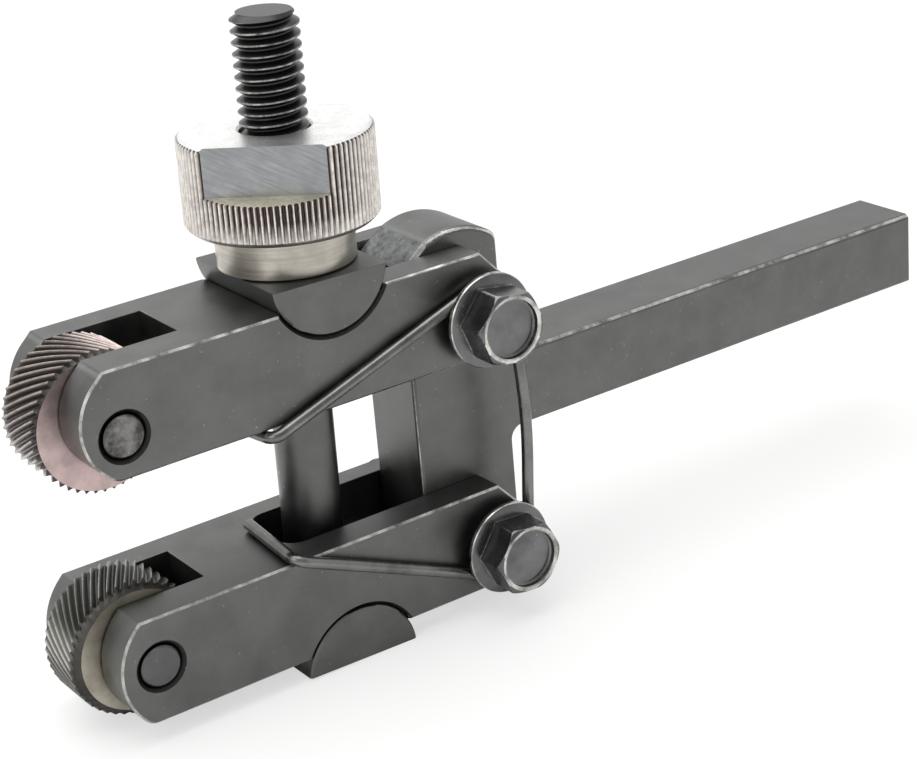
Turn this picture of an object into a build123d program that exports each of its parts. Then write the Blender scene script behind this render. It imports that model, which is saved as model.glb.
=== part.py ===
from build123d import *
import math
import os

os.makedirs("parts", exist_ok=True)

# Millimetres. Everything is drawn from the pivot axes and the mid-height of the shank.
# X runs from the wheels to the end of the shank, Y from the bolt heads to the nuts, Z up.
quarter_turn = 90.0
full_turn = 360.0

# Tool holder: a square shank with an upright body plate of the same thickness.
shank_size = 12.0
shank_length = 84.7
shank_edge_radius = 0.6
shank_end_break = 1.0
inner_corner_radius = 2.0
body_front = 9.0
body_back = 7.8
body_drop = 7.2
body_corner_radius = 5.0
head_radius = 11.9
head_corner_radius = 2.0
head_edge_break = 0.6
facet_reach = 4.8
upper_pivot_z = 15.85
lower_pivot_z = -20.15

# Arms: both are the same bar, forked at the rear over the body and at the front over a wheel.
arm_height = 15.6
upper_arm_base = 9.5
lower_arm_base = -26.9
near_ear = 5.3
far_ear = 3.85
ear_clearance = 0.1
arm_edge_break = 0.3
nose_shoulder_reach = 59.9
upper_nose_crown = 3.3
lower_nose_crown = 2.7
lower_far_nose_gain = 0.95
nose_break = 0.9
nose_heel_radius = 2.5
arm_rear = 6.2
rear_cut_length = 5.4
rear_cut_height = 5.9
rear_corner_radius = 2.0
slot_reach = 7.4
slot_corner_radius = 3.0
slot_width = shank_size + 2 * ear_clearance
arm_near = -(slot_width / 2 + near_ear)
arm_far = slot_width / 2 + far_ear
arm_width = arm_far - arm_near

# Wheels and their pins.
wheel_radius = 10.0
wheel_width = 10.0
wheel_side_clearance = 0.3
wheel_bore_clearance = 0.05
upper_rim_break = 0.6
lower_rim_break = 1.2
tooth_count = 45
tooth_depth = 0.5
helix_angle = 30.0
helix_steps = 5
pin_radius = 3.0
pin_fit = 0.02
pin_end_break = 0.25
pin_mouth_break = 0.8
upper_pin_setback = 6.1
lower_pin_setback = 6.0
upper_pin_rise = 6.0
lower_pin_rise = 8.2
upper_pocket_reach = 12.5
lower_pocket_reach = 11.0
upper_pin_x = upper_pin_setback - nose_shoulder_reach - upper_nose_crown
lower_pin_x = lower_pin_setback - nose_shoulder_reach - lower_nose_crown
upper_pin_z = upper_arm_base + upper_pin_rise
lower_pin_z = lower_arm_base + lower_pin_rise
pocket_width = wheel_width + 2 * wheel_side_clearance

# Half-round saddles that carry the clamp screw across the arms.
saddle_radius = 9.2
saddle_fit = 0.05
saddle_stand = 4.3
saddle_flat_offset = 1.2
saddle_edge_break = 0.3
groove_mouth_break = 0.6
upper_saddle_x = -23.8
lower_saddle_x = -25.0
upper_saddle_z = upper_arm_base + arm_height + saddle_stand
lower_saddle_z = lower_arm_base - saddle_stand

# The clamp screw runs through both saddle axes, so it leans a little.
clamp_length = math.hypot(upper_saddle_x - lower_saddle_x, upper_saddle_z - lower_saddle_z)
clamp_lean = math.degrees(
    math.atan2(upper_saddle_x - lower_saddle_x, upper_saddle_z - lower_saddle_z)
)
thread_radius = 4.7625
thread_pitch = 1.5875
thread_depth_share = 0.6134
screw_shank_radius = 4.4
screw_fit = 0.05
screw_above_nut = 16.0
threaded_length = 43.0
upper_saddle_bore_clearance = 0.5
screw_end_break = 0.8
screw_head_radius = 6.4
screw_head_rim = 0.6
key_pin_radius = 1.0
key_pin_length = 3.0

# Clamp nut: a round collar under a knurled body with two spanner flats.
collar_radius = 9.8
collar_height = 6.0
nut_radius = 13.65
nut_height = 13.2
nut_rim_break = 0.8
nut_ridge_count = 98
nut_ridge_depth = 0.35
nut_flat_reach = 10.15
nut_flat_depth = 6.9
nut_flat_direction = 229.8
nut_bore_clearance = 0.25

# Pivot bolts, with the sleeves that the arms and the spring turn on.
bolt_radius = 3.0
bolt_length = 35.0
bolt_pitch = 1.0
bolt_thread_length = 13.0
flange_radius = 7.0
flange_thickness = 1.2
flange_rim_break = 0.3
hex_across_flats = 10.0
bolt_head_height = 5.9
dish_radius = 3.9
dish_depth = 0.6
hex_mouth_break = 1.2
upper_hex_turn = 9.0
lower_hex_turn = 4.0
sleeve_radius = 4.0
sleeve_fit = 0.05
sleeve_end_play = 0.15
washer_radius = 6.0
washer_thickness = 1.2
nut_thickness = 5.0

# Return spring: one wire wrapped round the back of both sleeves, hooked over both arms.
wire_radius = 0.875
wire_clearance = 0.125
wrap_clearance = 0.025
hook_rest_clearance = 0.12
upper_hook_x = -36.0
lower_hook_x = -34.9
upper_hook_length = 14.0
lower_hook_length = 14.8
upper_hook_splay = -2.4
lower_hook_splay = 1.2
hook_bend_radius = 1.8
wrap_radius = sleeve_radius + wrap_clearance + wire_radius
wire_y = arm_near - wire_clearance - wire_radius
flange_back = wire_y - wire_radius - wire_clearance
sleeve_end = arm_far + sleeve_end_play

# The finished part has its origin at the middle of the shank's underside.
to_frame = Pos(-(body_back + shank_length / 2), 0, shank_size / 2)


def save(shape, name):
    placed = to_frame * shape
    placed.label = name
    export_step(placed, "parts/" + name + ".step")


def plate(face, y_low, y_high):
    # An XZ outline made solid between two heights in Y.
    return Pos(0, y_high, 0) * extrude(Plane.XZ * face, y_high - y_low)


def bar(x, z, radius, y_low, y_high):
    # A round bar along Y.
    turned = Rot(quarter_turn, 0, 0) * Cylinder(radius, y_high - y_low)
    return Pos(x, (y_low + y_high) / 2, z) * turned


def rod(radius, low, high):
    # A round rod along its own upright axis.
    return Pos(0, 0, (low + high) / 2) * Cylinder(radius, high - low)


def mouth(x, z, radius, break_size, y_face, inward):
    # A bevelled mouth cut into a face that lies across Y.
    cone = Cone(radius + break_size, radius, break_size)
    turned = Rot(-inward * quarter_turn, 0, 0) * cone
    return Pos(x, y_face + inward * break_size / 2, z) * turned


def ridges(radius, pitch, low, count):
    # Half outline of a row of thread crests along an upright axis, starting and ending at a root.
    root = radius - pitch * thread_depth_share
    points = []
    for index in range(count):
        points.append((root, low + index * pitch))
        points.append((radius, low + (index + 1 / 2) * pitch))
    points.append((root, low + count * pitch))
    return points


def turned_piece(points):
    # A solid of revolution from a half outline given as radius and height.
    outline = make_face(Polyline(*points, close=True))
    return revolve(Plane.XZ * outline, Axis.Z)


def holder():
    top_front = upper_pivot_z + math.sqrt(head_radius**2 - body_front**2)
    top_facet = upper_pivot_z + math.sqrt(head_radius**2 - facet_reach**2)
    top_back = upper_pivot_z + math.sqrt(head_radius**2 - body_back**2)
    arc_x = (body_back - facet_reach) / 2
    arc_z = upper_pivot_z + math.sqrt(head_radius**2 - arc_x**2)
    bottom = lower_pivot_z - body_drop
    shank_end = body_back + shank_length
    half = shank_size / 2
    edges = [
        Line((-body_front, bottom), (-body_front, top_front)),
        Line((-body_front, top_front), (-facet_reach, top_facet)),
        ThreePointArc((-facet_reach, top_facet), (arc_x, arc_z), (body_back, top_back)),
        Line((body_back, top_back), (body_back, half)),
        Line((body_back, half), (shank_end, half)),
        Line((shank_end, half), (shank_end, -half)),
        Line((shank_end, -half), (body_back, -half)),
        Line((body_back, -half), (body_back, bottom)),
        Line((body_back, bottom), (-body_front, bottom)),
    ]
    face = make_face(edges)
    bottoms = face.vertices().group_by(Axis.Y)[0]
    face = fillet(bottoms, body_corner_radius)
    inner = []
    for side in (-half, half):
        inner.append(face.vertices().sort_by_distance((body_back, side))[0])
    face = fillet(inner, inner_corner_radius)
    back_corner = face.vertices().sort_by_distance((body_back, top_back))[0]
    face = fillet(back_corner, head_corner_radius)
    solid = plate(face, -half, half)
    rims = [e for e in solid.edges().filter_by(Plane.XZ) if e.center().Z > top_front]
    solid = chamfer(rims, head_edge_break)
    end_edges = solid.edges().group_by(Axis.X)[-1]
    solid = chamfer(end_edges, shank_end_break)
    long_edges = [e for e in solid.edges().filter_by(Axis.X) if e.length > shank_length / 2]
    solid = fillet(long_edges, shank_edge_radius)
    for pivot_z in (upper_pivot_z, lower_pivot_z):
        solid -= bar(0, pivot_z, sleeve_radius + sleeve_fit, -shank_size, shank_size)
    return solid


def arm_outline(base, shoulder, crown):
    top = base + arm_height
    middle = base + arm_height / 2
    flat = shoulder - nose_break
    cut_start = arm_rear - rear_cut_length
    cut_end = top - rear_cut_height
    edges = [
        Line((arm_rear, base), (arm_rear, cut_end)),
        Line((arm_rear, cut_end), (cut_start, top)),
        Line((cut_start, top), (-flat, top)),
        Line((-flat, top), (-shoulder, top - nose_break)),
        ThreePointArc(
            (-shoulder, top - nose_break),
            (-shoulder - crown, middle),
            (-shoulder, base + nose_break),
        ),
        Line((-shoulder, base + nose_break), (-flat, base)),
        Line((-flat, base), (arm_rear, base)),
    ]
    face = make_face(edges)
    corner = face.vertices().sort_by_distance((arm_rear, base))[0]
    face = fillet(corner, rear_corner_radius)
    # The nose is rounded underneath.
    heel = face.vertices().sort_by_distance((-flat, base))[0]
    return fillet(heel, nose_heel_radius)


def arm(base, nose_crown, far_gain, pivot_z, pin_x, pin_z, pocket_reach, saddle_x, saddle_z):
    # The far cheek may reach a little further than the near one.
    middle = base + arm_height / 2
    near_half = plate(arm_outline(base, nose_shoulder_reach, nose_crown), arm_near, 0)
    near_half = chamfer(near_half.edges().group_by(Axis.Y)[0], arm_edge_break)
    far_outline = arm_outline(base, nose_shoulder_reach + far_gain, nose_crown)
    far_half = plate(far_outline, 0, arm_far)
    far_half = chamfer(far_half.edges().group_by(Axis.Y)[-1], arm_edge_break)
    solid = near_half + far_half
    # Pocket for the wheel, open at the nose.
    nose_end = nose_shoulder_reach + nose_crown + far_gain
    pocket_end = pin_x + pocket_reach
    pocket = Box(nose_end + pocket_end, pocket_width, arm_height * 2)
    solid -= Pos((pocket_end - nose_end) / 2, 0, middle) * pocket
    # Slot for the body and the screw, open at the rear, with rounded corners at its front end.
    slot_front = saddle_x - slot_reach
    slot = Box(arm_rear - slot_front, slot_width, arm_height * 2)
    slot = fillet(slot.edges().filter_by(Axis.Z).group_by(Axis.X)[0], slot_corner_radius)
    solid -= Pos((arm_rear + slot_front) / 2, 0, middle) * slot
    # Bores for the sleeve and the wheel pin.
    solid -= bar(0, pivot_z, sleeve_radius + sleeve_fit, arm_near, arm_far)
    solid -= bar(pin_x, pin_z, pin_radius + pin_fit, arm_near, arm_far)
    solid -= mouth(pin_x, pin_z, pin_radius + pin_fit, pin_mouth_break, arm_near, 1)
    solid -= mouth(pin_x, pin_z, pin_radius + pin_fit, pin_mouth_break, arm_far, -1)
    # Groove for the saddle.
    groove_radius = saddle_radius + saddle_fit
    solid -= bar(saddle_x, saddle_z, groove_radius, arm_near, arm_far)
    solid -= mouth(saddle_x, saddle_z, groove_radius, groove_mouth_break, arm_near, 1)
    solid -= mouth(saddle_x, saddle_z, groove_radius, groove_mouth_break, arm_far, -1)
    return solid


def knurl_wheel(hand, rim_break):
    # One toothed outline is turned a little further at each step across the width.
    points = []
    for index in range(tooth_count):
        crest = math.radians(index * full_turn / tooth_count)
        gap = math.radians((index + 1 / 2) * full_turn / tooth_count)
        points.append((wheel_radius * math.cos(crest), wheel_radius * math.sin(crest)))
        low = wheel_radius - tooth_depth
        points.append((low * math.cos(gap), low * math.sin(gap)))
    outline = make_face(Polyline(*points, close=True))
    twist = math.degrees(math.tan(math.radians(helix_angle)) * wheel_width / wheel_radius)
    sections = []
    for step in range(helix_steps):
        share = step / (helix_steps - 1)
        turn = Rot(0, 0, hand * twist * share)
        sections.append(Pos(0, 0, (share - 1 / 2) * wheel_width) * turn * outline)
    toothed = loft(sections, ruled=True)
    blank = Cylinder(wheel_radius + tooth_depth, wheel_width)
    rims = blank.edges().filter_by(GeomType.CIRCLE)
    blank = chamfer(rims, rim_break + tooth_depth)
    wheel = toothed & blank
    wheel -= Cylinder(pin_radius + wheel_bore_clearance, wheel_width * 2)
    return Rot(-quarter_turn, 0, 0) * wheel


def wheel_pin():
    pin = Cylinder(pin_radius, arm_width)
    pin = chamfer(pin.edges().filter_by(GeomType.CIRCLE), pin_end_break)
    return Pos(0, (arm_near + arm_far) / 2, 0) * Rot(quarter_turn, 0, 0) * pin


def saddle(side):
    # The round side faces the arm; side is 1 where the arm lies below the saddle.
    width = saddle_radius * 4
    round_bar = bar(0, 0, saddle_radius, arm_near, arm_far)
    ends = round_bar.edges().filter_by(GeomType.CIRCLE)
    round_bar = chamfer(ends, saddle_edge_break)
    cutter = Box(width, width, width)
    cut_middle = side * (width / 2 - saddle_flat_offset)
    return round_bar - Pos(0, 0, cut_middle) * cutter


def lower_clamp_saddle():
    solid = saddle(-1)
    solid -= rod(screw_shank_radius + screw_fit, 0, saddle_radius * 2)
    seat = screw_seat(screw_fit)
    solid -= seat
    return solid - key_hole()


def screw_seat(gap):
    # The countersunk head, flush with the lower saddle's flat.
    low = saddle_flat_offset
    rim = low + screw_head_rim
    neck = rim + screw_head_radius - screw_shank_radius
    points = [
        (0, low),
        (screw_head_radius + gap, low),
        (screw_head_radius + gap, rim),
        (screw_shank_radius + gap, neck),
        (0, neck),
    ]
    return turned_piece(points)


def key_hole():
    low = saddle_flat_offset
    return Pos(screw_head_radius, 0, 0) * rod(key_pin_radius + pin_fit, low, low + key_pin_length)


def key_pin():
    low = saddle_flat_offset
    return Pos(screw_head_radius, 0, 0) * rod(key_pin_radius, low, low + key_pin_length)


def clamp_screw():
    top = nut_seat + collar_height + nut_height + screw_above_nut
    count = round(threaded_length / thread_pitch)
    thread_end = top - screw_end_break
    thread_start = thread_end - count * thread_pitch
    crests = ridges(thread_radius, thread_pitch, thread_start, count)
    root = crests[-1][0]
    rim = saddle_flat_offset + screw_head_rim
    points = [(0, rim), (screw_shank_radius, rim)]
    points.append((screw_shank_radius, thread_start - thread_pitch / 2))
    points.extend(crests)
    points.append((root - screw_end_break, top))
    points.append((0, top))
    solid = turned_piece(points)
    solid += screw_seat(0)
    return solid - key_hole()


def clamp_nut():
    points = []
    for index in range(nut_ridge_count * 2):
        angle = math.radians(index * full_turn / (nut_ridge_count * 2))
        radius = nut_radius - (index % 2) * nut_ridge_depth
        points.append((radius * math.cos(angle), radius * math.sin(angle)))
    ridged = extrude(make_face(Polyline(*points, close=True)), nut_height)
    blank = rod(nut_radius, 0, nut_height)
    rims = blank.edges().filter_by(GeomType.CIRCLE)
    blank = chamfer(rims, nut_rim_break)
    body = ridged & blank
    for side in (-1, 1):
        keep_out = Box(nut_radius, nut_radius * 4, nut_flat_depth)
        middle = side * (nut_flat_reach + nut_radius / 2)
        body -= Pos(middle, 0, nut_height - nut_flat_depth / 2) * keep_out
    body = Rot(0, 0, nut_flat_direction) * body
    solid = Pos(0, 0, collar_height) * body + rod(collar_radius, 0, collar_height)
    bore = thread_radius + nut_bore_clearance
    return solid - rod(bore, -collar_height, nut_height + collar_height * 2)


def pivot_bolt(hex_turn):
    # Drawn with the head below the flange's seat, then turned to point along Y.
    tip = bolt_length
    count = round(bolt_thread_length / bolt_pitch)
    thread_end = tip - bolt_pitch / 2
    crests = ridges(bolt_radius, bolt_pitch, thread_end - count * bolt_pitch, count)
    root = crests[-1][0]
    points = [(0, 0), (bolt_radius, 0), (bolt_radius, crests[0][1] - bolt_pitch / 2)]
    points.extend(crests)
    points.append((root - bolt_pitch / 2, tip))
    points.append((0, tip))
    solid = turned_piece(points)
    flange = rod(flange_radius, -flange_thickness, 0)
    flange = chamfer(flange.edges().filter_by(GeomType.CIRCLE), flange_rim_break)
    corner_radius = hex_across_flats / math.sqrt(3)
    hexagon = RegularPolygon(hex_across_flats / 2, 6, major_radius=False)
    head = extrude(hexagon, bolt_head_height)
    head = Rot(0, 0, -hex_turn) * head
    guard_low = hex_across_flats / 2 - hex_mouth_break / 2
    rise = bolt_head_height - (corner_radius - guard_low) / math.sqrt(3)
    guard = [(0, 0), (corner_radius, 0), (corner_radius, rise)]
    guard.extend([(guard_low, bolt_head_height), (0, bolt_head_height)])
    head = head & turned_piece(guard)
    head -= rod(dish_radius, bolt_head_height - dish_depth, bolt_head_height + dish_depth)
    head = Rot(quarter_turn * 2, 0, 0) * head
    solid = solid + flange + head
    return Pos(0, flange_back, 0) * Rot(-quarter_turn, 0, 0) * solid


def ring(outer, inner, y_low, y_high):
    return bar(0, 0, outer, y_low, y_high) - bar(0, 0, inner, y_low - outer, y_high + outer)


def pivot_nut(hex_turn):
    hexagon = RegularPolygon(hex_across_flats / 2, 6, major_radius=False)
    blank = Rot(0, 0, hex_turn) * extrude(hexagon, nut_thickness)
    low = sleeve_end + washer_thickness
    solid = Pos(0, low, 0) * Rot(-quarter_turn, 0, 0) * blank
    return solid - bar(0, 0, bolt_radius + sleeve_fit, low - nut_thickness, low + nut_thickness * 2)


def return_spring():
    upper_rest = upper_arm_base - wire_radius - hook_rest_clearance
    lower_rest = lower_arm_base + arm_height + wire_radius + hook_rest_clearance
    # Each leg leaves its wrap on the line through the bend of its hook.
    up_x = -upper_hook_x
    up_z = upper_pivot_z - upper_rest
    up_angle = math.atan2(up_z, up_x) + math.asin(wrap_radius / math.hypot(up_x, up_z))
    down_x = -lower_hook_x
    down_z = lower_rest - lower_pivot_z
    down_angle = math.atan2(down_z, down_x) + math.asin(wrap_radius / math.hypot(down_x, down_z))
    up_leave_x = -wrap_radius * math.sin(up_angle)
    up_leave_z = upper_pivot_z + wrap_radius * math.cos(up_angle)
    down_leave_x = -wrap_radius * math.sin(down_angle)
    down_leave_z = lower_pivot_z - wrap_radius * math.cos(down_angle)
    mid = 1 / math.sqrt(2)
    up_leg = FilletPolyline(
        (upper_hook_x + upper_hook_splay, wire_y + upper_hook_length, upper_rest),
        (upper_hook_x, wire_y, upper_rest),
        (up_leave_x, wire_y, up_leave_z),
        radius=hook_bend_radius,
    )
    up_wrap = ThreePointArc(
        (up_leave_x, wire_y, up_leave_z),
        (wrap_radius * mid, wire_y, upper_pivot_z + wrap_radius * mid),
        (wrap_radius, wire_y, upper_pivot_z),
    )
    link = Line((wrap_radius, wire_y, upper_pivot_z), (wrap_radius, wire_y, lower_pivot_z))
    down_wrap = ThreePointArc(
        (wrap_radius, wire_y, lower_pivot_z),
        (wrap_radius * mid, wire_y, lower_pivot_z - wrap_radius * mid),
        (down_leave_x, wire_y, down_leave_z),
    )
    down_leg = FilletPolyline(
        (down_leave_x, wire_y, down_leave_z),
        (lower_hook_x, wire_y, lower_rest),
        (lower_hook_x + lower_hook_splay, wire_y + lower_hook_length, lower_rest),
        radius=hook_bend_radius,
    )
    path = Wire(up_leg.edges() + [up_wrap, link, down_wrap] + down_leg.edges())
    start = path @ 0
    section = Plane(origin=start, z_dir=path % 0) * Circle(wire_radius)
    return sweep(section, path=path)


nut_seat = clamp_length - saddle_flat_offset
clamp_place = Pos(lower_saddle_x, 0, lower_saddle_z) * Rot(0, clamp_lean, 0)

save(holder(), "tool_holder")

upper_arm = arm(
    upper_arm_base,
    upper_nose_crown,
    0,
    upper_pivot_z,
    upper_pin_x,
    upper_pin_z,
    upper_pocket_reach,
    upper_saddle_x,
    upper_saddle_z,
)
save(upper_arm, "upper_arm")
lower_arm = arm(
    lower_arm_base,
    lower_nose_crown,
    lower_far_nose_gain,
    lower_pivot_z,
    lower_pin_x,
    lower_pin_z,
    lower_pocket_reach,
    lower_saddle_x,
    lower_saddle_z,
)
save(lower_arm, "lower_arm")

wheels = (
    ("upper", -1, upper_rim_break, upper_pin_x, upper_pin_z),
    ("lower", 1, lower_rim_break, lower_pin_x, lower_pin_z),
)
for name, hand, rim_break, pin_x, pin_z in wheels:
    place = Pos(pin_x, 0, pin_z)
    save(place * knurl_wheel(hand, rim_break), name + "_knurl_wheel")
    save(place * wheel_pin(), name + "_wheel_pin")

pivots = (("upper", upper_pivot_z, upper_hex_turn), ("lower", lower_pivot_z, lower_hex_turn))
for name, pivot_z, hex_turn in pivots:
    place = Pos(0, 0, pivot_z)
    washer_end = sleeve_end + washer_thickness
    save(place * pivot_bolt(hex_turn), name + "_pivot_bolt")
    sleeve = ring(sleeve_radius, bolt_radius + sleeve_fit, flange_back, sleeve_end)
    save(place * sleeve, name + "_pivot_sleeve")
    washer = ring(washer_radius, bolt_radius + sleeve_fit, sleeve_end, washer_end)
    save(place * washer, name + "_pivot_washer")
    save(place * pivot_nut(hex_turn), name + "_pivot_nut")

save(return_spring(), "return_spring")

upper_saddle = saddle(1)
upper_saddle -= rod(thread_radius + upper_saddle_bore_clearance, -saddle_radius * 2, 0)
save(clamp_place * Pos(0, 0, clamp_length) * upper_saddle, "upper_saddle")
save(clamp_place * lower_clamp_saddle(), "lower_saddle")
save(clamp_place * clamp_screw(), "clamp_screw")
save(clamp_place * key_pin(), "screw_key_pin")
save(clamp_place * Pos(0, 0, nut_seat) * clamp_nut(), "clamp_nut")
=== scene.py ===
import math

import bmesh
import bpy
from mathutils import Matrix, Vector


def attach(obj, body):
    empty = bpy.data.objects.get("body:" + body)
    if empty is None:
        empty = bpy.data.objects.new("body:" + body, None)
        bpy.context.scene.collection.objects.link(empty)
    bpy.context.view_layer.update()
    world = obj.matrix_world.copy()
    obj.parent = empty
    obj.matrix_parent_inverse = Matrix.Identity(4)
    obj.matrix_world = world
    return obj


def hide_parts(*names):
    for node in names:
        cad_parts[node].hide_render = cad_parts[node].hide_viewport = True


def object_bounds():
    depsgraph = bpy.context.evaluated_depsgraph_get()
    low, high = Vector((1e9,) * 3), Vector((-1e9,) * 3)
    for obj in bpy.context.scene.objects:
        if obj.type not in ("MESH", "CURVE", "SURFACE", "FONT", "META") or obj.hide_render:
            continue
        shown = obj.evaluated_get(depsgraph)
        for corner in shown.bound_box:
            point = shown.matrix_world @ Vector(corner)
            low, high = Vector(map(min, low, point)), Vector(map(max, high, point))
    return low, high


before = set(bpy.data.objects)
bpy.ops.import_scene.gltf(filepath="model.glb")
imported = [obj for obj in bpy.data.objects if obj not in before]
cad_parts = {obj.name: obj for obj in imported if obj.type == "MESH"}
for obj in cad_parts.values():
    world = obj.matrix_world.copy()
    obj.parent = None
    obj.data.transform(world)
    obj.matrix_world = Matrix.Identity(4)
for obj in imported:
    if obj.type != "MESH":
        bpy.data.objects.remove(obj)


def write_sizes():
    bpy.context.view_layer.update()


write_sizes()

# Tool holder: a 12 mm square steel bar with an upright plate forged and milled in one with it.
# It is blackened all over. Its head is left rough, and the long edges are rubbed bright.
mm = 0.001
shank_mid_x = -50.15
upper_pivot = Vector((shank_mid_x, 0, 21.85))
lower_pivot = Vector((shank_mid_x, 0, -14.15))
black_oxide = (0.130, 0.1325, 0.128)
bare_steel = (0.50, 0.49, 0.45)
holder_edge_round = 0.22
merge_distance = 0.002
flat_angle = math.radians(0.6)
corner_angle = math.radians(50)
chamfer_normal = (0.6, 0.8)
facet_normal = 0.5
noise_roughness = 0.6
# Most of a noise pattern lies between the first two, and nearly all between the second.
noise_middle = (0.35, 0.65)
noise_wide = (0.3, 0.7)
# How far the rounded normal leans from the face's own where the rubbing begins and is full.
rub_begins = 0.01
rub_full = 0.12
wear_scale = 700.0
wear_middle = (0.4, 0.6)
wear_least = 0.3
nick_scale = 1300.0
nick_range = (0.70, 0.75)
nick_share = 0.25
gloss_less = 0.05
gloss_more = 0.06


def node_tree(name):
    material = bpy.data.materials.new(name)
    material.use_nodes = True
    nodes = material.node_tree.nodes
    nodes.clear()
    out = nodes.new("ShaderNodeOutputMaterial")
    shader = nodes.new("ShaderNodeBsdfPrincipled")
    material.node_tree.links.new(shader.outputs[0], out.inputs[0])
    return material, nodes, material.node_tree.links, shader


def pattern(nodes, links, scale, detail, stretch=(1, 1, 1), tilt=(0, 0, 0)):
    # Noise whose grains are drawn out along the axes of a turned frame.
    where = nodes.new("ShaderNodeTexCoord")
    fit = nodes.new("ShaderNodeMapping")
    fit.vector_type = "TEXTURE"
    fit.inputs["Scale"].default_value = stretch
    fit.inputs["Rotation"].default_value = tilt
    cloud = nodes.new("ShaderNodeTexNoise")
    cloud.inputs["Scale"].default_value = scale
    cloud.inputs["Detail"].default_value = detail
    cloud.inputs["Roughness"].default_value = noise_roughness
    links.new(where.outputs["Object"], fit.inputs["Vector"])
    links.new(fit.outputs["Vector"], cloud.inputs["Vector"])
    return cloud.outputs["Fac"]


def spread(nodes, links, source, low, high, to_low=0.0, to_high=1.0):
    fit = nodes.new("ShaderNodeMapRange")
    fit.inputs["From Min"].default_value = low
    fit.inputs["From Max"].default_value = high
    fit.inputs["To Min"].default_value = to_low
    fit.inputs["To Max"].default_value = to_high
    links.new(source, fit.inputs["Value"])
    return fit.outputs["Result"]


def blend_colours(nodes, links, share, first, second):
    mix = nodes.new("ShaderNodeMix")
    mix.data_type = "RGBA"
    for socket, value in ((mix.inputs[6], first), (mix.inputs[7], second)):
        if isinstance(value, tuple):
            socket.default_value = (*value, 1)
        else:
            links.new(value, socket)
    links.new(share, mix.inputs[0])
    return mix.outputs[2]


def math_node(nodes, links, operation, first, second):
    # Each of the two is a socket or a plain number.
    node = nodes.new("ShaderNodeMath")
    node.operation = operation
    for socket, value in zip(node.inputs, (first, second)):
        if isinstance(value, float):
            socket.default_value = value
        else:
            links.new(value, socket)
    return node.outputs[0]


def rubbed_edges(nodes, links, width):
    # Corners catch hands and chips: the rounded normal leaves the face's own one there.
    rounded = nodes.new("ShaderNodeBevel")
    rounded.samples = 8
    rounded.inputs["Radius"].default_value = width * mm
    face = nodes.new("ShaderNodeNewGeometry")
    turn = nodes.new("ShaderNodeVectorMath")
    turn.operation = "DOT_PRODUCT"
    links.new(rounded.outputs["Normal"], turn.inputs[0])
    links.new(face.outputs["Normal"], turn.inputs[1])
    return spread(nodes, links, turn.outputs["Value"], 1.0 - rub_begins, 1.0 - rub_full)


def shades(tint, darker, lighter):
    return tuple(c * darker for c in tint), tuple(min(1, c * lighter) for c in tint)


def metal_surface(nodes, links, shader, colour, rough, lines, strength, depth):
    # Metal of this colour and gloss, with its grain or its tool lines as fine relief.
    links.new(colour, shader.inputs["Base Color"])
    shader.inputs["Metallic"].default_value = 1.0
    if isinstance(rough, float):
        shader.inputs["Roughness"].default_value = rough
    else:
        links.new(rough, shader.inputs["Roughness"])
    relief = nodes.new("ShaderNodeBump")
    relief.inputs["Strength"].default_value = strength
    relief.inputs["Distance"].default_value = depth * mm
    links.new(lines, relief.inputs["Height"])
    links.new(relief.outputs["Normal"], shader.inputs["Normal"])


def steel_finish(name, tint, rough, worn=0.0, edge_width=0.3, grain=4500.0, depth=0.012,
                 mottle=0.12, bright=bare_steel, cloud_scale=160.0):
    # Blackened or plain steel, mottled, with small bright nicks and, where worn, bright corners.
    material, nodes, links, shader = node_tree(name)
    cloud = pattern(nodes, links, cloud_scale, detail=4.0)
    dark, light = shades(tint, 1 - mottle, 1 + mottle)
    colour = blend_colours(nodes, links, spread(nodes, links, cloud, *noise_middle), dark, light)
    fine = pattern(nodes, links, grain, detail=2.0)
    roughness = spread(nodes, links, cloud, *noise_wide, rough - gloss_less, rough + gloss_more)
    if worn:
        patches = pattern(nodes, links, wear_scale, detail=3.0)
        patchy = spread(nodes, links, patches, *wear_middle, wear_least)
        edge = math_node(nodes, links, "MULTIPLY", rubbed_edges(nodes, links, edge_width), patchy)
        edge = math_node(nodes, links, "MULTIPLY", edge, worn)
        colour = blend_colours(nodes, links, edge, colour, bright)
    specks = pattern(nodes, links, nick_scale, detail=2.0)
    nicks = spread(nodes, links, specks, *nick_range, 0.0, nick_share)
    colour = blend_colours(nodes, links, nicks, colour, bright)
    metal_surface(nodes, links, shader, colour, roughness, fine, strength=0.5, depth=depth)
    return material


def finish_piece(piece, slot, body, *finishes):
    piece.data.materials.clear()
    for finish in finishes:
        piece.data.materials.append(finish)
    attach(piece, body)


def smooth_sides(piece, angle=28.0):
    for face in piece.data.polygons:
        face.use_smooth = True
    piece.data.set_sharp_from_angle(angle=math.radians(angle))
    weights = piece.modifiers.new("even shading", "WEIGHTED_NORMAL")
    weights.keep_sharp = True


def link_piece(name, shape):
    mesh = bpy.data.meshes.new(name)
    bmesh.ops.recalc_face_normals(shape, faces=shape.faces)
    shape.to_mesh(mesh)
    shape.free()
    piece = bpy.data.objects.new(name, mesh)
    bpy.context.scene.collection.objects.link(piece)
    return piece


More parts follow.
